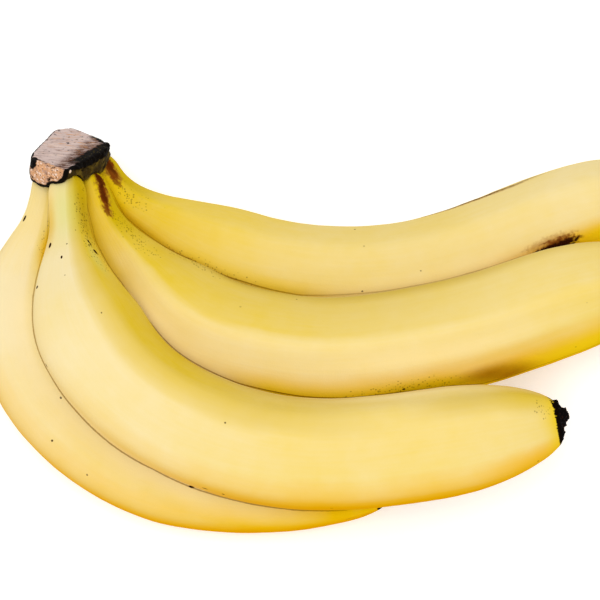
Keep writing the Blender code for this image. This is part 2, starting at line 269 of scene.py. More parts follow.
def srgb(red, green, blue):
    """A screen colour, 0 to 255, as the linear one that shaders use."""
    return tuple(
        c / 12.92 if c <= 0.04045 else ((c + 0.055) / 1.055) ** 2.4
        for c in (red / 255, green / 255, blue / 255)
    )


def colour(name, description, default):
    return FloatVectorProperty(
        name=name, description=description, default=default, subtype="COLOR", size=3, min=0, max=1
    )


def factor(name, description, default):
    return FloatProperty(
        name=name, description=description, default=default, subtype="FACTOR", min=0, max=1
    )


def metres(name, description, default):
    return FloatProperty(name=name, description=description, default=default, unit="LENGTH")


class FingerShape(bpy.types.PropertyGroup):
    """Sizes that all the fingers share"""

    ridge_sharpness: FloatProperty(
        name="Ridge sharpness", description="How tight the ridges are", default=12.0, min=2, max=30
    )
    body_flatness: factor("Body flatness", "How flat the sides of the body are", 0.62)
    neck_flatness: factor("Neck flatness", "How flat the sides of the neck are", 0.75)
    tip_flatness: factor("Tip flatness", "How flat the sides of the tip are", 0.8)
    ripple: metres("Ripple", "Height of the peel's soft unevenness", 0.0005)
    ripple_width: metres("Ripple width", "Width of the peel's soft unevenness", 0.016)


class PeelLooks(bpy.types.PropertyGroup):
    """Colours of the peel"""

    # Painted sheen: this colour is partly the peel's pale tone and partly a painted sheen where the
    # faces meet the light.
    cream_and_sheen: colour("Cream", "The palest peel", srgb(231, 214, 168))
    gold: colour("Gold", "The clear yellow of the inside faces", srgb(226, 192, 12))
    # The deep yellow is partly the peel's own tone and partly painted shade on the outside of the
    # bend.
    warm: colour("Warm", "The deep yellow on the outside of the bend", srgb(226, 170, 2))
    # Painted shade: the darker orange of the lowest faces, which turn away from the light.
    deep: colour("Deep", "The orange of the lowest faces", srgb(214, 150, 0))
    # Painted shade: the darker, duller colour of the faces beyond the inner ridge, which turn away
    # from the light.
    dull: colour("Dull", "The shaded faces beyond the inner ridge", srgb(196, 166, 60))
    # Olive also serves as painted shade beside the contact on banana_3.
    olive: colour("Olive", "The least ripe faces of the necks", srgb(190, 160, 0))
    # Painted light: pale brightens the outer edges as a painted highlight, and the peel beside a
    # contact against its shade.
    pale: colour("Pale", "The lightest edges", srgb(250, 232, 176))
    # Painted shade: a soft brownish darkening beside the contact with the finger in front.
    shade: colour("Shade", "Softly browned places", srgb(150, 100, 6))
    # Painted shadow: a dark line where two fingers touch, and darker places in the creases by the
    # crown and along a contact.
    crease: colour("Crease", "The line where two fingers touch", srgb(140, 100, 0))
    green: colour("Green", "The least ripe peel beside the crown", srgb(204, 206, 116))
    brown: colour("Brown", "Rubbed places", srgb(150, 96, 34))
    red: colour("Red-brown", "Streaks where the necks have cracked", srgb(112, 52, 10))
    dark: colour("Dark", "Bruises and specks", srgb(44, 16, 4))
    scar: colour("Scar", "The black end of the peel", srgb(16, 9, 5))
    roughness: factor("Roughness", "How matt the peel is", 0.42)
    gloss: factor("Gloss", "Strength of the waxy sheen", 0.0)


class CrownLooks(bpy.types.PropertyGroup):
    """Colours and roughness of the crown and the dried flower ends"""

    cut: colour("Cut face", "The dry grey of the main cut", srgb(206, 184, 176))
    fibre: colour("Fibre", "The darker fibres in the main cut", srgb(150, 120, 112))
    scorched: colour("Scorched", "The brown of the main cut beside its rim", srgb(84, 48, 30))
    tan: colour("Side cut", "The fresher side cut", srgb(210, 158, 116))
    pore: colour("Pores", "The pale pores of the side cut", srgb(240, 214, 196))
    skin: colour("Skin", "The olive skin between the necks", srgb(54, 42, 14))
    web: colour("Web", "The lighter folds of that skin", srgb(96, 80, 26))
    crust: colour("Crust", "The black dried rim", srgb(10, 6, 4))
    voxel: metres("Fineness", "Size of the steps that the crown is rebuilt in", 0.0004)
    wrinkle: metres("Wrinkles", "Height of the wrinkles in the skin", 0.001)
    overhang: metres("Overhang", "How far the crust stands out below the rim", 0.0024)


class FlowerShape(bpy.types.PropertyGroup):
    """Sizes of the dried flower ends"""

    sides: IntProperty(name="Sides", description="Corners round an end", default=22, min=8, max=64)
    radius: metres("Radius", "Radius where it meets the tip", 0.006)
    jitter: metres("Jitter", "How far the ragged edge strays", 0.0013)
    crumble: metres("Crumble", "Height of the crumbled surface", 0.003)


class StageLooks(bpy.types.PropertyGroup):
    """The floor and the light"""

    floor: colour("Floor", "The plain pale floor", (0.97, 0.97, 0.97))
    table: FloatProperty(name="Table", description="Light from the table itself", default=0.2)
    sky: FloatProperty(name="Sky", description="Even light from all round", default=0.72)
    key: FloatProperty(name="Key", description="Power of the lamp", default=12.5, unit="POWER")
    key_size: metres("Key size", "Side of the large soft lamp", 0.9)


def ease(share):
    """0 to 1 with a soft start and end."""
    share = min(max(share, 0.0), 1.0)
    return share * share * (3 - 2 * share)


class MiddleLine:
    """A smooth curve through points: a natural cubic spline, measured along its length."""

    def __init__(self, points):
        points = np.array(points)
        spans = np.linalg.norm(np.diff(points, axis=0), axis=1)
        bends = self.bends(points, spans)
        pieces = []
        for i, span in enumerate(spans):
            after = np.linspace(0, span, POINTS_PER_SPAN, endpoint=False)[:, None]
            before = span - after
            pieces.append(
                (bends[i] * before**3 + bends[i + 1] * after**3) / (6 * span)
                + (points[i] / span - bends[i] * span / 6) * before
                + (points[i + 1] / span - bends[i + 1] * span / 6) * after
            )
        self.points = np.vstack([*pieces, points[-1:]])
        steps = np.linalg.norm(np.diff(self.points, axis=0), axis=1)
        self.marks = np.concatenate([[0], np.cumsum(steps)])
        self.length = float(self.marks[-1])

    @staticmethod
    def bends(points, spans):
        """The curve's second derivative at each point, zero at both ends."""
        rows = np.eye(len(points))
        pull = np.zeros_like(points)
        for i in range(1, len(points) - 1):
            before, after = spans[i - 1], spans[i]
            rows[i, i - 1 : i + 2] = before, 2 * (before + after), after
            slope_after = (points[i + 1] - points[i]) / after
            slope_before = (points[i] - points[i - 1]) / before
            pull[i] = 6 * (slope_after - slope_before)
        return np.linalg.solve(rows, pull)

    def at(self, distance):
        return Vector([np.interp(distance, self.marks, self.points[:, k]) for k in range(3)])

    def direction(self, distance, reach=0.0005):
        ahead = self.at(min(distance + reach, self.length))
        behind = self.at(max(distance - reach, 0))
        return (ahead - behind).normalized()

    def axes(self, distance, twist=0.0):
        """Up, inwards and back along the line at a distance, as the columns of a matrix."""
        along = self.direction(distance)
        up = Vector((0, 0, 1))
        up = (up - up.dot(along) * along).normalized()
        level = Matrix((up, up.cross(along), -along)).transposed()
        return level @ Matrix.Rotation(twist, 3, "Z")


def flats_radius(angle, flats, sharpness):
    """Distance from the middle to a rounded polygon whose flats all stand at 1."""
    total = sum(max(math.cos(angle - math.radians(flat)), 0) ** sharpness for flat in flats)
    return total ** (-1 / sharpness)


def spread(start, end, count):
    """Evenly spaced numbers from start up to, but not including, end."""
    return [start + (end - start) * k / count for k in range(count)]


def ring_places(finger, length):
    """Distances along the finger at which its rings stand."""
    start, end = finger["shoulder"]
    taper = length - TIP_LENGTH + SCAR_CUT
    last = math.asin(1 - SCAR_CUT / TIP_LENGTH)
    return [
        *spread(0, start, NECK_RINGS),
        *spread(start, end, SHOULDER_RINGS),
        *spread(end, taper, BODY_RINGS),
        *(taper + TIP_LENGTH * math.sin(turn) for turn in spread(0, last, TIP_RINGS - 1)),
        length,
    ]


def radius_at(finger, place, length):
    start, end = finger["shoulder"]
    into_root = (1 - ROOT_CUT) * max(1 - place / ROOT_LENGTH, 0)
    neck = finger["neck"] * math.sqrt(1 - into_root**2)
    body = neck + (finger["radius"] - neck) * ease((place - start) / (end - start))
    into_tip = max(1 - (length - place + SCAR_CUT) / TIP_LENGTH, 0)
    return body * (1 - into_tip**TIP_POWER) ** (1 / TIP_POWER)


def flatness_at(finger, place, length, shape):
    start, end = finger["shoulder"]
    neck_share = 1 - ease((place - start) / (end - start))
    tip_share = ease(1 - (length - place) / (TIP_FLATTENS * TIP_LENGTH))
    flatness = shape.body_flatness + (shape.neck_flatness - shape.body_flatness) * neck_share
    return flatness + (shape.tip_flatness - flatness) * tip_share


def twist_at(finger, place):
    settle = ease(place / (finger["shoulder"][1] + UNTWIST_PAST_SHOULDER))
    return math.radians(finger["neck_twist"]) * (1 - settle)


def select_only(piece):
    bpy.ops.object.select_all(action="DESELECT")
    piece.select_set(True)
    bpy.context.view_layer.objects.active = piece


def edit(piece):
    """Opens one piece alone in edit mode."""
    select_only(piece)
    bpy.ops.object.mode_set(mode="EDIT")
    bpy.ops.mesh.select_mode(type="VERT")


def choose(piece, wanted):
    """Selects the corners of a piece in edit mode that a test of number and place picks."""
    form = bmesh.from_edit_mesh(piece.data)
    form.verts.ensure_lookup_table()
    for part in (*form.faces, *form.edges, *form.verts):
        part.select = False
    found = 0
    for vertex in form.verts:
        if wanted(vertex.index, piece.matrix_world @ vertex.co):
            vertex.select = True
            found += 1
    form.select_flush_mode()
    bmesh.update_edit_mesh(piece.data)
    return found


def start_ring(name, sides, radius, middle, axes):
    """Adds a filled circle that a piece is extruded from, and opens it in edit mode."""
    bpy.ops.object.select_all(action="DESELECT")
    bpy.ops.mesh.primitive_circle_add(
        vertices=sides, radius=radius, fill_type="NGON", location=middle, rotation=axes.to_euler()
    )
    piece = bpy.context.object
    piece.name = piece.data.name = name
    edit(piece)
    return piece


def widen(times, middle):
    bpy.ops.transform.resize(value=(times, times, times), center_override=middle)


def extrude(step, times, middle):
    """Extrudes what is selected by a step, and widens it about its new middle."""
    bpy.ops.mesh.extrude_region_move(TRANSFORM_OT_translate={"value": step})
    widen(times, middle)


def turn_about(centre, rotation):
    """Turns what is selected by a rotation matrix. With no window the operator turns the other way."""
    for axis, angle in zip("XYZ", rotation.to_euler("XYZ")):
        if abs(angle) > 1e-6:
            bpy.ops.transform.rotate(
                value=-angle, orient_axis=axis, orient_type="GLOBAL", center_override=centre
            )


def finish_form(piece):
    """Turns the faces outwards, and puts the piece's place into its mesh."""
    bpy.ops.mesh.select_all(action="SELECT")
    bpy.ops.mesh.normals_make_consistent(inside=False)
    bpy.ops.object.mode_set(mode="OBJECT")
    select_only(piece)
    bpy.ops.object.transform_apply(location=True, rotation=True, scale=True)


def apply_modifier(piece, kind, **values):
    modifier = piece.modifiers.new(kind.lower(), kind)
    for name, value in values.items():
        setattr(modifier, name, value)
    bpy.context.view_layer.objects.active = piece
    bpy.ops.object.modifier_apply(modifier=modifier.name)


def roughen(piece, name, size, height, middle=0.5, group="", depth=3):
    """Displaces a piece by clouds of a size."""
    clouds = bpy.data.textures.new(name, "CLOUDS")
    clouds.noise_scale = size
    clouds.noise_depth = depth
    apply_modifier(
        piece, "DISPLACE", texture=clouds, strength=height, mid_level=middle, vertex_group=group
    )


def settle_on_floor(piece):
    """Presses flat whatever of a piece is below the floor."""
    edit(piece)
    if choose(piece, lambda number, place: place.z < 0):
        bpy.ops.transform.resize(value=(1, 1, 0), center_override=(0, 0, 0))
    bpy.ops.object.mode_set(mode="OBJECT")


def dress(piece, material):
    """Gives a finished piece its only material."""
    if len(piece.data.loops) != 2 * len(piece.data.edges):
        raise RuntimeError(piece.name + " isn't closed")
    piece.data.materials.clear()
    piece.data.materials.append(material)


def press_to_flats(piece, finger, shape, middle):
    """Moves each corner of the first ring in or out, to a section with flats and ridges."""
    flats, sharpness = finger["flats"], shape.ridge_sharpness
    mean = sum(flats_radius(math.radians(a), flats, sharpness) for a in range(360)) / 360
    corners = [vertex.co.copy() for vertex in bmesh.from_edit_mesh(piece.data).verts]
    for number, corner in enumerate(corners):
        angle = math.atan2(corner.y, corner.x)
        pressed = flats_radius(angle, flats, sharpness) / mean
        choose(piece, lambda index, _: index == number)
        widen(1 - shape.tip_flatness + shape.tip_flatness * pressed, middle)


def model_finger(finger, shape):
    """Extrudes a circle ring by ring along the middle line, then presses it to its flats."""
    line = MiddleLine(finger["line"])
    places = ring_places(finger, line.length)
    middle, axes = line.at(0), line.axes(0, twist_at(finger, 0))
    radius = radius_at(finger, 0, line.length)
    piece = start_ring(finger["name"] + "_peel", SECTION_SIDES, radius, middle, axes)
    press_to_flats(piece, finger, shape, middle)
    bpy.ops.mesh.select_all(action="SELECT")
    middles = [middle]
    for place in places[1:]:
        step = line.at(place) - middle
        middle = line.at(place)
        middles.append(middle)
        wider = radius_at(finger, place, line.length) / radius
        radius *= wider
        extrude(step, wider, middle)
        turned = line.axes(place, twist_at(finger, place))
        turn_about(middle, turned @ axes.inverted())
        axes = turned
    for inset in SCAR_INSETS:
        bpy.ops.mesh.inset(thickness=inset)
    for number, (place, middle) in enumerate(zip(places, middles)):
        rounding = 1 - flatness_at(finger, place, line.length, shape) / shape.tip_flatness
        first = number * SECTION_SIDES
        choose(piece, lambda index, _: first <= index < first + SECTION_SIDES)
        if rounding > 0.001:
            bpy.ops.transform.tosphere(value=rounding, center_override=middle)
    finish_form(piece)
    settle_on_floor(piece)
    apply_modifier(piece, "SUBSURF", levels=2, render_levels=2)
    roughen(piece, finger["name"] + "_ripple", shape.ripple_width, shape.ripple, depth=2)
    settle_on_floor(piece)
    bpy.ops.object.shade_smooth()
    lay_grain(piece, finger, line)
    return piece


def lay_grain(piece, finger, line):
    """Gives a finger a UV map: across it is the angle round the middle line, up it the length."""
    mesh = piece.data
    corners = np.empty(len(mesh.vertices) * 3)
    mesh.vertices.foreach_get("co", corners)
    corners = corners.reshape(-1, 3)
    samples = np.linspace(0, line.length, GRAIN_SAMPLES)
    axes = np.array([line.axes(place, twist_at(finger, place)) for place in samples])
    middles = np.array([line.at(place) for place in samples])
    nearest = np.empty(len(corners), int)
    for start in range(0, len(corners), GRAIN_BATCH):
        batch = slice(start, start + GRAIN_BATCH)
        apart = np.linalg.norm(corners[batch, None] - middles[None], axis=2)
        nearest[batch] = apart.argmin(axis=1)
    out = corners - middles[nearest]
    up, inward, back = (np.einsum("ij,ij->i", out, axes[nearest, :, k]) for k in range(3))
    around = np.arctan2(inward, up) / (2 * math.pi) + 0.5
    length = (samples[nearest] - back) / line.length
    if mesh.uv_layers:
        mesh.uv_layers.remove(mesh.uv_layers[0])
    grain = mesh.uv_layers.new(name=GRAIN)
    for face in mesh.polygons:
        turns = [around[mesh.loops[k].vertex_index] for k in face.loop_indices]
        wraps = max(turns) - min(turns) > 0.5
        for k, turn in zip(face.loop_indices, turns):
            over = 1 if wraps and turn < 0.5 else 0
            grain.data[k].uv = (turn + over, length[mesh.loops[k].vertex_index])


class Wire:
    """A node's socket that can be used in a sum."""

    def __init__(self, recipe, socket):
        self.recipe = recipe
        self.socket = socket

    def maths(self, operation, *values):
        inputs = dict(enumerate(values))
        return self.recipe.node("Math", inputs, operation=operation)["Value"]

    def __add__(self, other):
        return self.maths("ADD", self, other)

    def __radd__(self, other):
        return self.maths("ADD", other, self)

    def __sub__(self, other):
        return self.maths("SUBTRACT", self, other)

    def __rsub__(self, other):
        return self.maths("SUBTRACT", other, self)

    def __mul__(self, other):
        return self.maths("MULTIPLY", self, other)

    def __rmul__(self, other):
        return self.maths("MULTIPLY", other, self)

    def between(self, low, high):
        """0 at low and 1 at high, eased between them. low may be above high."""
        limits = {"Value": self, "From Min": low, "From Max": high}
        if low > high:
            limits.update({"From Min": high, "From Max": low, "To Min": 1.0, "To Max": 0.0})
        return self.recipe.node("MapRange", limits, interpolation_type="SMOOTHSTEP")["Result"]


class Made:
    """A node whose outputs are read by name or number."""

    def __init__(self, recipe, node):
        self.recipe = recipe
        self.node = node

    def __getitem__(self, name):
        return Wire(self.recipe, self.node.outputs[name])


class Recipe:
    """One material's nodes."""

    def __init__(self, name):
        self.material = bpy.data.materials.new(name)
        self.material.use_nodes = True
        self.tree = self.material.node_tree
        self.shader = self.tree.nodes["Principled BSDF"]

    def node(self, kind, inputs=None, **settings):
        """A node of a kind, with the values or links of its sockets and its other settings."""
        made = self.tree.nodes.new("ShaderNode" + kind)
        for name, value in settings.items():
            if name == "stops":
                self.set_stops(made.color_ramp, value)
            else:
                setattr(made, name, value)
        for name, value in (inputs or {}).items():
            self.put(made.inputs[name], value)
        return Made(self, made)

    @staticmethod
    def set_stops(ramp, stops):
        ramp.interpolation = "LINEAR"
        while len(ramp.elements) > 1:
            ramp.elements.remove(ramp.elements[-1])
        for number, (position, value) in enumerate(stops):
            stop = ramp.elements[0] if number == 0 else ramp.elements.new(position)
            stop.position = position
            stop.color = (value, value, value, 1)

    def put(self, socket, value):
        if isinstance(value, Wire):
            self.tree.links.new(value.socket, socket)
        elif socket.type == "RGBA" and len(value) == 3:
            socket.default_value = (*value, 1)
        else:
            socket.default_value = value

    def layers(self, colour, *coats):
        """A colour with others laid over it in turn, each where its share is 1."""
        for coat, share in coats:
            colour = self.node("Mix", {0: share, 6: colour, 7: coat}, data_type="RGBA")[2]
        return colour

    def profile(self, value, stops):
        """A value read off a curve through stops."""
        return self.node("ValToRGB", {"Fac": value}, stops=stops)["Color"]

    def noise(self, place, size, detail=2.0, roughness=0.5, result="Fac"):
        """Clouds from 0 to 1 whose features are about size metres wide."""
        inputs = {"Vector": place, "Scale": 1 / size, "Detail": detail, "Roughness": roughness}
        return self.node("TexNoise", inputs)[result]

    def split(self, vector):
        parts = self.node("SeparateXYZ", {"Vector": vector})
        return parts["X"], parts["Y"], parts["Z"]

    def join(self, x, y, z):
        return self.node("CombineXYZ", {"X": x, "Y": y, "Z": z})["Vector"]

    def vectors(self, operation, *values, result="Vector"):
        return self.node("VectorMath", dict(enumerate(values)), operation=operation)[result]

    def spot(self, place, centre, radii):
        """1 at the centre of an oval and 0 from its edge outwards."""
        scaled = self.vectors("DIVIDE", self.vectors("SUBTRACT", place, centre), radii)
        return self.vectors("LENGTH", scaled, result="Value").between(1.0, 0.0)

    def height_over(self, place, point, facing):
        """Distance from a plane, positive on the side that it faces."""
        away = self.vectors("SUBTRACT", place, point)
        return self.vectors("DOT_PRODUCT", away, facing, result="Value")

    def finish(self, base_color, roughness, specular, height=None, depth=0.0):
        """Wires the shader, with a bump of a height that is depth metres at most."""
        values = {"Base Color": base_color, "Roughness": roughness, "Specular IOR Level": specular}
        if height is not None:
            bump = {"Height": height, "Distance": depth, "Strength": 1.0}
            values["Normal"] = self.node("Bump", bump)["Normal"]
        for name, value in values.items():
            self.put(self.shader.inputs[name], value)
        return self.material


def bearing(degrees):
    """A direction in degrees from straight up, as a place across the grain."""
    return degrees / 360 + 0.5


class Peel(Recipe):
    """One finger's ripe peel, and the patterns that its colours share."""

    CLOUD, BAND, MOTTLE, RAGGED, STREAK, PORE = 0.022, 0.006, 0.006, 0.0012, 0.0011, 0.0005
    STREAK_SHORTENING = 0.05  # the streaks' pattern is squeezed so, and they come out long
    STRAY_SIZE, STRAY = 0.0015, 0.0006  # how the outlines of marks waver
    SPECKS_A_METRE, SPECKLES_A_METRE = 700.0, 1350.0
    FRAY = {-30: 20, 10: 50, 30: 100, 80: 100, 110: 20}  # by direction, at the scar
    BUMP = 0.00012

    def __init__(self, finger, looks):
        super().__init__(finger["name"] + "_peel")
        self.finger, self.looks = finger, looks
        self.length, self.girth = MiddleLine(finger["line"]).length, 2 * math.pi * finger["radius"]
        self.around, self.along, _ = self.split(self.node("UVMap", uv_map=GRAIN)["UV"])
        self.place = self.node("TexCoord")["Object"]
        self.clouds = self.noise(self.place, self.CLOUD, 3.0)
        self.ragged = self.noise(self.place, self.RAGGED, 3.0)
        turn = self.around * (2 * math.pi)
        self.lengthened = self.join(
            turn.maths("COSINE", turn) * finger["radius"],
            turn.maths("SINE", turn) * finger["radius"],
            self.along * (self.length * self.STREAK_SHORTENING),
        )
        self.streaks = self.noise(self.lengthened, self.STREAK, 3.0)

    def lengthwise(self, key):
        """One of the finger's curves along its length."""
        stops = self.finger[key].items()
        return self.profile(self.along, [(place / 100, share / 100) for place, share in stops])

    def by_direction(self, value, stops):
        return self.profile(value, [(bearing(at), share / 100) for at, share in stops.items()])

    def distance_from(self, key):
        """How far round the finger a place is from one of its lines, in turns."""
        stops = self.finger[key].items()
        line = self.profile(self.along, [(place / 100, bearing(at)) for place, at in stops])
        away = self.around - line
        return away.maths("ABSOLUTE", away)

    def ground(self):
        """Cream on top, partly a painted sheen, gold inside the bend, painted shade on the faces
        beyond the inner ridge, deep yellow outside it, partly painted shade, turning to the painted
        shade of the lowest faces, and olive on the necks.
        """
        looks, along, clouds = self.looks, self.along, self.clouds
        bands = self.noise(self.lengthened, self.BAND, 2.0)
        mottle = self.noise(self.place, self.MOTTLE, 3.0)
        bent = self.around + (clouds - 0.5) * 0.04 + (bands - 0.5) * 0.03
        inside = self.by_direction(bent, self.finger["inside"])
        # The faces beyond the inner ridge get painted shade, by direction.
        dull = self.by_direction(bent, self.finger["dull"])
        warm = self.by_direction(bent, self.finger["warm"]) * self.lengthwise("warm_along")
        top = self.lengthwise("top")
        # The creamy share is partly the peel's pale tone and partly a painted sheen.
        cream_and_sheen = top + (self.lengthwise("side") - top) * inside
        uneven = (clouds - 0.5) * 0.35 + (mottle - 0.5) * 0.2 + (self.streaks - 0.5) * 0.15
        # Painted shade: dull darkens the faces beyond the inner ridge, warm is partly and deep wholly
        # painted shade on the outside and lowest faces of the bend.
        return self.layers(
            looks.gold,
            (looks.cream_and_sheen, cream_and_sheen + uneven),
            (looks.dull, dull * along.between(0.85, 0.55) * 0.6),
            (looks.warm, warm),
            (looks.deep, warm * bent.between(0.34, 0.26) * 0.8),
            (looks.olive, inside * along.between(0.16, 0.06) * 0.8),
        )

    def lines(self, skin):
        """The painted shadow line of contact with painted shade and painted light beside it, a pale
        outer edge that is a painted highlight, and a worn line.
        """
        looks, along, waver = self.looks, self.along, self.ragged - 0.5
        if "contact" in self.finger:
            # Beside the contact: painted shade in gold towards the neighbour, and painted light in
            # pale where the peel stays bright up to the line.
            away = self.distance_from("contact")
            near = away.between(0.075, 0.0)
            # Painted shadow: a thin dark line along the contact with the next finger.
            line = (away + waver * 0.002).between(0.0034, 0.0014) * along.between(0.98, 0.9)
            skin = self.layers(
                skin,
                (looks.gold, near * self.lengthwise("deepens")),
                (looks.pale, near * self.lengthwise("lightens")),
                (looks.crease, line * self.lengthwise("creases")),
            )
        if "edge" in self.finger:
            # Painted highlight: a pale line along the finger's outline.
            near = self.distance_from("edge").between(0.016, 0.006)
            skin = self.layers(skin, (looks.pale, near * along.between(0.4, 0.5) * 0.35))
        if "worn" in self.finger:
            away = self.distance_from("worn") + waver * 0.02
            wears = self.lengthwise("wears") * 0.7
            brown, dark = away.between(0.024, 0.004) * wears, away.between(0.01, 0.002) * wears
            skin = self.layers(skin, (looks.brown, brown), (looks.dark, dark))
        return skin

    def dots(self, a_metre, waver, edge, full):
        """Scattered dots, and for each a number from 0 to 1 that is left to chance."""
        inputs = {"Vector": self.place, "Scale": a_metre, "Randomness": 1.0}
        cells = self.node("TexVoronoi", inputs)
        chance, _, _ = self.split(cells["Color"])
        return (cells["Distance"] + (self.ragged - 0.5) * waver).between(edge, full), chance

    def marks(self, skin):
        """Soft tones, rubbed and cracked places, bruises and specks. Also gives the small specks."""
        finger, looks = self.finger, self.looks
        stray = self.noise(self.place, self.STRAY_SIZE, result="Color")
        stray = self.vectors("SUBTRACT", stray, (0.5, 0.5, 0.5))
        stray = self.vectors("MULTIPLY", stray, (self.STRAY,) * 3)
        surface = self.join(self.around * self.girth, self.along * self.length, 0.0)
        surface = self.vectors("ADD", surface, stray)

        def oval(degrees, percent, wide, long):
            centre = (bearing(degrees) * self.girth, percent / 100 * self.length, 0.0)
            return self.spot(surface, centre, (wide / 1000, long / 1000, 1.0))

        for tone, *where, strength in finger["tones"]:
            skin = self.layers(skin, (getattr(looks, tone), oval(*where) * (strength / 100)))
        broken = (self.ragged - 0.5) * 1.1 + (self.streaks - 0.5) * 0.9
        for tone, *where, strength in finger["streaks"]:
            spot = oval(*where)
            patchy = (spot + broken).between(0.15, 0.75) * spot.between(0.0, 0.3)
            skin = self.layers(skin, (getattr(looks, tone), patchy * (strength / 100)))
        for *where, strength in finger["specks"]:
            speck = oval(*where).between(0.0, 0.4)
            skin = self.layers(skin, (looks.dark, speck * (strength / 100)))
        dot, chance = self.dots(self.SPECKS_A_METRE, 0.2, 0.34, 0.2)
        small = dot * chance.between(0.9975, 0.9985) * self.clouds.between(0.45, 0.6)
        dot, chance = self.dots(self.SPECKLES_A_METRE, 0.6, 0.5, 0.25)
        for *where, strength in finger["speckles"]:
            often = (oval(*where) * 0.3 - chance * 0.5).between(0.0, 0.03) * (strength / 100)
            small = small.maths("MAXIMUM", small, dot * often * (0.6 + chance * 0.6))
        return self.layers(skin, (looks.dark, small * 0.8)), small

    def made(self):
        skin, small = self.marks(self.lines(self.ground()))
        frayed = self.by_direction(self.around, self.FRAY)
        fray = ((self.ragged - 0.5) * 0.016 + (self.streaks - 0.5) * 0.02) * frayed
        scar = (self.along + fray).between(0.9925, 0.9945)
        pores = self.noise(self.place, self.PORE, 2.0)
        return self.finish(
            base_color=self.layers(skin, (self.looks.scar, scar)),
            roughness=self.looks.roughness + (self.clouds - 0.5) * 0.16 + small * 0.2,
            specular=self.looks.gloss,
            height=self.streaks * 0.5 + pores * 0.3 + self.clouds * 0.6,
            depth=self.BUMP,
        )


class BuildFingers(bpy.types.Operator):
    """Model the four bananas and give them their peel"""

    bl_idname = "bananas.build_fingers"
    bl_label = "Bananas"

    def execute(self, context):
        for finger in FINGERS:
            piece = model_finger(finger, context.scene.finger_shape)
            dress(piece, Peel(finger, context.scene.peel_looks).made())
            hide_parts(finger["name"])
            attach(piece, "root")
        return {"FINISHED"}


def copy_of_node(name, piece_name):
    """A copy of a CAD node with its loose triangles merged."""
    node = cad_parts[name]
    copy = node.copy()
    copy.data = node.data.copy()
    copy.parent = None
    copy.name = copy.data.name = piece_name
    for key in [key for key in copy.keys() if key.startswith("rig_")]:
        del copy[key]
    bpy.context.scene.collection.objects.link(copy)
    edit(copy)
    bpy.ops.mesh.select_all(action="SELECT")
    bpy.ops.mesh.remove_doubles(threshold=0.00001)
    bpy.ops.mesh.normals_make_consistent(inside=False)
    bpy.ops.object.mode_set(mode="OBJECT")
    return copy


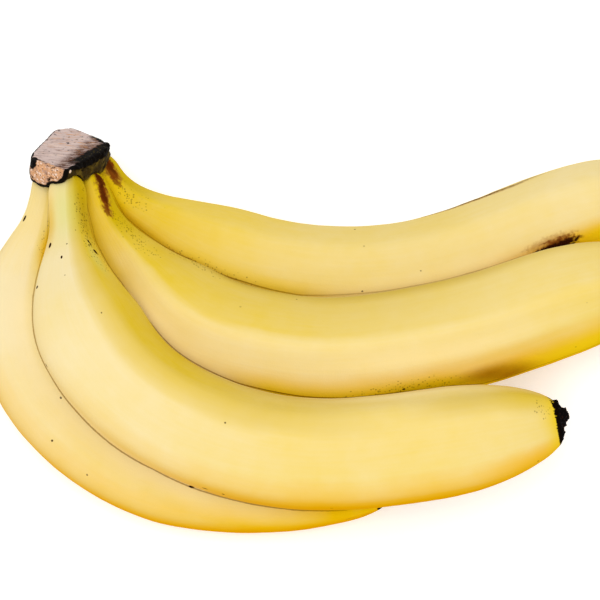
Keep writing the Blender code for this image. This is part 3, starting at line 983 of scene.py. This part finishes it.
class CrownSkin(Recipe):
    """The crown's cuts and skin. Places are metres over the cuts and along or into the main one."""

    COARSE, RAGGED, FINE = 0.004, 0.0016, 0.0006
    FIBRE, BROAD = 0.001, 0.003
    FIBRE_TURN = (0.41, 0.91)  # the fibres' direction across the main cut: cosine and sine
    FIBRE_SHORTENING = (0.16, 0.5)  # of their pattern, along them and into the crown
    BUMP = 0.0005

    def __init__(self, looks):
        super().__init__("crown_skin")
        self.looks = looks
        self.place = place = self.node("TexCoord")["Object"]
        self.main, self.side = self.height_over(place, *MAIN_CUT), self.height_over(place, *SIDE_CUT)
        self.along = along = self.height_over(place, RIM_START, ALONG_RIM)
        self.into = into = self.height_over(place, RIM_START, INTO_CUT)
        self.rim = self.node("Attribute", attribute_name=RIM)["Fac"] * RIM_REACH
        self.coarse = self.noise(place, self.COARSE, 3.0)
        self.ragged = self.noise(place, self.RAGGED, 4.0) - 0.5
        cosine, sine = self.FIBRE_TURN
        lengthwise, inwards = self.FIBRE_SHORTENING
        grain = self.join(
            (along * cosine - into * sine) * lengthwise,
            into * cosine + along * sine,
            self.main * inwards,
        )
        self.fibres = self.noise(grain, self.FIBRE, 4.0, 0.7)
        self.broad = self.noise(grain, self.BROAD, 3.0)

    def main_cut(self):
        """Grey fibres, browned towards the rim above the necks and charred along it."""
        looks, along, into, ragged = self.looks, self.along, self.into, self.ragged
        fibres, coarse, strand = self.fibres, self.coarse, self.fibres - 0.5
        burnt = into - along * 0.29 + strand * 0.013 + (self.broad - 0.5) * 0.008 + ragged * 0.004
        burnt = burnt.between(0.003, 0.0002) * (0.25 + fibres.between(0.4, 0.56) * 0.75)
        tan = fibres.between(0.55, 0.62) * along.between(0.01, 0.018)
        tan = tan * (into + ragged * 0.002).between(0.002, 0.0034)
        fringe = (into - along * 0.1 + strand * 0.006 + ragged * 0.004).between(0.0006, -0.0004)
        corner = (self.rim + strand * 0.003 + ragged * 0.003).between(0.0026, 0.0018)
        corner = corner * along.between(0.017, 0.022) * into.between(0.012, 0.008)
        flecks = self.noise(self.place, 0.0007, 2.0).between(0.6, 0.68) * 0.6
        charcoal = self.layers(looks.crust, (looks.web, flecks))
        return self.layers(
            looks.cut,
            (looks.fibre, (fibres * 0.6 + coarse * 0.4).between(0.44, 0.66) * 0.7),
            (looks.pore, (self.broad * 0.5 + coarse * 0.5).between(0.5, 0.62) * 0.4),
            (looks.scorched, burnt),
            (looks.tan, tan * 0.8),
            (charcoal, fringe.maths("MAXIMUM", fringe * along.between(0.003, 0.01), corner)),
        )

    def side_cut(self):
        """Fresher, with pale pores and dark pits."""
        pores = self.noise(self.place, 0.0012, 3.0, 0.7).between(0.52, 0.64)
        blotches = self.noise(self.place, 0.002, 3.0).between(0.52, 0.7)
        pits = self.noise(self.place, 0.0009, 2.0, 0.7).between(0.58, 0.64)
        looks = self.looks
        return self.layers(
            looks.tan, (looks.pore, pores), (looks.fibre, blotches * 0.6), (looks.scorched, pits)
        )

    def skin(self):
        """Olive folds between the necks, black towards both cuts."""
        looks, coarse, ragged = self.looks, self.coarse, self.ragged
        below = self.main + 0.0008 + self.along.between(0.001, 0.014) * 0.002 + ragged * 0.0024
        beside = self.side + 0.0012 + ragged * 0.0014
        return self.layers(
            looks.skin,
            (looks.web, coarse.between(0.48, 0.64)),
            (looks.crust, (ragged + (coarse - 0.5) * 0.6).between(0.1, 0.16) * 0.8),
            (looks.crust, below.between(-0.0004, 0.0003)),
            (looks.crust, beside.between(-0.0004, 0.0002)),
        )

    def made(self):
        looks, main, side, ragged = self.looks, self.main, self.side, self.ragged
        on_side = (side + ragged * 0.0006).between(-0.0007, -0.0003)
        on_side = on_side * self.along.between(0.0022, 0.0012)
        on_main = (main + ragged * 0.0006).between(-0.0008, -0.0004) * main.between(0.0008, 0.0004)
        above_side = (main - side + ragged * 0.003).between(-0.0004, 0.0002)
        outline = (self.rim - on_side * 0.0003 + ragged * 0.0006).between(0.001, 0.0008)
        near_main, near_side = main.between(-0.0014, -0.0009), side.between(-0.0012, -0.0008)
        outline = outline * main.maths("MAXIMUM", near_main, near_side)
        fine = self.noise(self.place, self.FINE, 3.0)
        return self.finish(
            base_color=self.layers(
                self.skin(),
                (self.side_cut(), on_side),
                (self.main_cut(), on_main * above_side),
                (looks.crust, outline),
                (looks.crust, (self.spot(self.place, *PATCH) + ragged * 0.8).between(0.05, 0.2)),
                # Painted glint: a small pale spot on the crown's skin.
                (looks.pore, self.spot(self.place, *PAINTED_GLINT).between(0.1, 0.4)),
            ),
            roughness=0.82 + ragged * 0.3,
            specular=0.05,
            height=self.fibres * 0.7 * on_main + fine * 0.5 + ragged * 0.5,
            depth=self.BUMP,
        )


def group_of(piece, name, wanted):
    """A vertex group of the corners that a test of place picks."""
    edit(piece)
    group = piece.vertex_groups.new(name=name)
    if not choose(piece, lambda number, place: wanted(place)):
        raise RuntimeError("no part of " + piece.name + " is " + name)
    bpy.ops.object.vertex_group_assign()
    bpy.ops.object.mode_set(mode="OBJECT")
    return group.name


def measure_rim(piece, cuts):
    """Stores at each corner of the cut faces how far it is from the skin round them."""
    corners = [vertex.co for vertex in piece.data.vertices]
    skin = KDTree(len(corners))
    for number, corner in enumerate(corners):
        if max(facing.dot(corner - point) for point, facing in cuts) < -0.0005:
            skin.insert(corner, number)
    skin.balance()
    shares = [min(skin.find(corner)[2] / RIM_REACH, 1.0) for corner in corners]
    rim = piece.data.attributes.new(name=RIM, type="FLOAT", domain="POINT")
    rim.data.foreach_set("value", shares)


def model_crown(looks):
    """Rebuilds the cut crown finely, wrinkles its skin and raises its crust."""
    piece = copy_of_node("crown", "crown_cushion")
    apply_modifier(piece, "REMESH", mode="VOXEL", voxel_size=looks.voxel)
    apply_modifier(piece, "SMOOTH", factor=0.5, iterations=2)
    cuts = [(Vector(point), Vector(facing)) for point, facing in (MAIN_CUT, SIDE_CUT)]
    main_point, main_facing = cuts[0]
    rim_start, into_cut, along_rim = Vector(RIM_START), Vector(INTO_CUT), Vector(ALONG_RIM)

    def on_skin(place):
        return all(facing.dot(place - point) < -SKIN_BELOW for point, facing in cuts)

    def on_crust(place):
        along = min(max(along_rim.dot(place - rim_start), 0), CRUST_WIDENS) / CRUST_WIDENS
        depth = -main_facing.dot(place - main_point)
        deep = CRUST_TOP < depth < CRUST_DEPTH + CRUST_DEEPER * along
        return deep and into_cut.dot(place - rim_start) < CRUST_INTO

    skin = group_of(piece, "skin", on_skin)
    crust = group_of(piece, "crust", on_crust)
    roughen(piece, "wrinkles", 0.0035, looks.wrinkle, group=skin)
    roughen(piece, "crust", 0.0014, looks.overhang, 0.3, crust)
    edit(piece)
    bpy.ops.mesh.select_all(action="SELECT")
    bpy.ops.mesh.bisect(plane_co=main_point, plane_no=main_facing, use_fill=True, clear_outer=True)
    bpy.ops.object.mode_set(mode="OBJECT")
    apply_modifier(piece, "REMESH", mode="VOXEL", voxel_size=looks.voxel)
    measure_rim(piece, cuts)
    roughen(piece, "grit", 0.0009, looks.wrinkle * 0.35)
    bpy.ops.object.shade_smooth()
    return piece


class BuildCrown(bpy.types.Operator):
    """Model the cut crown that the necks grow from"""

    bl_idname = "bananas.build_crown"
    bl_label = "Crown"

    def execute(self, context):
        looks = context.scene.crown_looks
        piece = model_crown(looks)
        dress(piece, CrownSkin(looks).made())
        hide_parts("crown")
        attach(piece, "root")
        return {"FINISHED"}


def dried_finish(looks):
    """Black, crumbled and matt, with a few brown fibres."""
    recipe = Recipe("dried_flower")
    place = recipe.node("TexCoord")["Object"]
    crumble = recipe.noise(place, 0.0012, 4.0)
    fine = recipe.noise(place, 0.0004, 3.0)
    return recipe.finish(
        base_color=recipe.layers(looks.crust, (looks.scorched, crumble.between(0.55, 0.8) * 0.6)),
        roughness=0.75 + fine * 0.2,
        specular=0.05,
        height=crumble + fine * 0.4,
        depth=0.0006,
    )


def model_flower_end(finger, number, shape):
    """The ragged black remains of the flower at a tip."""
    line = MiddleLine(finger["line"])
    axes = line.axes(line.length)
    aside, along = axes.col[1], -axes.col[2]
    middle = line.at(line.length) - along * FLOWER_SINK
    piece = start_ring("flower_end_%d_dried" % number, shape.sides, shape.radius, middle, axes)
    bpy.ops.mesh.select_all(action="SELECT")
    for step, wider in FLOWER_RINGS:
        lean = along * step + aside * (step * FLOWER_LEAN)
        middle = middle + lean
        extrude(lean, wider, middle)
    bpy.ops.mesh.inset(thickness=FLOWER_INSET)
    out, across = FLOWER_NOSE
    bpy.ops.transform.translate(value=along * out + aside * across)
    bpy.ops.mesh.select_all(action="SELECT")
    bpy.ops.transform.vertex_random(offset=shape.jitter, uniform=0.0, normal=0.0, seed=number)
    finish_form(piece)
    apply_modifier(piece, "SUBSURF", levels=2, render_levels=2)
    roughen(piece, piece.name, 0.0018, shape.crumble, 0.45)
    roughen(piece, piece.name + "_fine", 0.0007, shape.crumble * 0.4)
    bpy.ops.object.shade_smooth()
    return piece


class BuildFlowerEnds(bpy.types.Operator):
    """Model the dried flower ends at the tips"""

    bl_idname = "bananas.build_flower_ends"
    bl_label = "Flower ends"

    def execute(self, context):
        finish = dried_finish(context.scene.crown_looks)
        for number, finger in enumerate(FINGERS, start=1):
            piece = model_flower_end(finger, number, context.scene.flower_shape)
            dress(piece, finish)
            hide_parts("flower_end_%d" % number)
            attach(piece, "root")
        return {"FINISHED"}


def floor_finish(looks):
    """A white table that is lit from below as well."""
    recipe = Recipe("floor")
    recipe.put(recipe.shader.inputs["Emission Color"], (1.0, 1.0, 1.0))
    recipe.put(recipe.shader.inputs["Emission Strength"], looks.table)
    return recipe.finish(base_color=tuple(looks.floor), roughness=0.9, specular=0.5)


def aim(thing, back):
    """Turns a lamp or camera so that it looks away from a direction."""
    thing.rotation_mode = "QUATERNION"
    thing.rotation_quaternion = back.to_track_quat("Z", "Y")


class BuildStage(bpy.types.Operator):
    """Set the floor, the light and the camera"""

    bl_idname = "bananas.build_stage"
    bl_label = "Stage"

    def execute(self, context):
        looks = context.scene.stage_looks
        bpy.ops.object.select_all(action="DESELECT")
        bpy.ops.mesh.primitive_circle_add(vertices=64, radius=FLOOR_RADIUS, fill_type="NGON")
        floor = context.object
        floor.name = "floor"
        floor.data.materials.append(floor_finish(looks))
        world = bpy.data.worlds.new("even light")
        world.use_nodes = True
        sky = world.node_tree.nodes["Background"]
        sky.inputs["Color"].default_value = (1, 1, 1, 1)
        sky.inputs["Strength"].default_value = looks.sky
        context.scene.world = world
        bpy.ops.object.light_add(type="AREA", location=LAMP_PLACE)
        lamp = context.object
        lamp.data.size = looks.key_size
        lamp.data.energy = looks.key
        aim(lamp, lamp.location)
        back = Vector((0, -math.cos(CAMERA_ELEVATION), math.sin(CAMERA_ELEVATION)))
        bpy.ops.object.camera_add(location=Vector(CAMERA_TARGET) + back * CAMERA_DISTANCE)
        camera = context.object
        aim(camera, back)
        camera.data.lens = CAMERA_LENS
        camera.data.clip_start, camera.data.clip_end = CAMERA_SEES
        context.scene.camera = camera
        context.scene.view_settings.view_transform = "Standard"
        return {"FINISHED"}


class BananaPanel(bpy.types.Panel):
    """Lists the steps, and the sizes and colours that they use"""

    bl_idname = "VIEW3D_PT_bananas"
    bl_label = "Banana bunch"
    bl_space_type = "VIEW_3D"
    bl_region_type = "UI"
    bl_category = "Bananas"

    def draw(self, context):
        for operator in OPERATORS:
            self.layout.operator(operator.bl_idname)
        for name, group in GROUPS.items():
            box = self.layout.box()
            box.label(text=group.__doc__)
            for value in group.__annotations__:
                box.prop(getattr(context.scene, name), value)


OPERATORS = (BuildStage, BuildFingers, BuildCrown, BuildFlowerEnds)
GROUPS = {
    "finger_shape": FingerShape,
    "peel_looks": PeelLooks,
    "crown_looks": CrownLooks,
    "flower_shape": FlowerShape,
    "stage_looks": StageLooks,
}


def register():
    for thing in (*GROUPS.values(), *OPERATORS, BananaPanel):
        bpy.utils.register_class(thing)
    for name, group in GROUPS.items():
        setattr(bpy.types.Scene, name, PointerProperty(type=group))


def unregister():
    for name in GROUPS:
        delattr(bpy.types.Scene, name)
    for thing in (BananaPanel, *OPERATORS, *GROUPS.values()):
        bpy.utils.unregister_class(thing)


def main():
    register()
    bpy.ops.bananas.build_stage()
    bpy.ops.bananas.build_fingers()
    bpy.ops.bananas.build_crown()
    bpy.ops.bananas.build_flower_ends()
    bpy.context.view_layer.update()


if __name__ == "__main__":
    main()
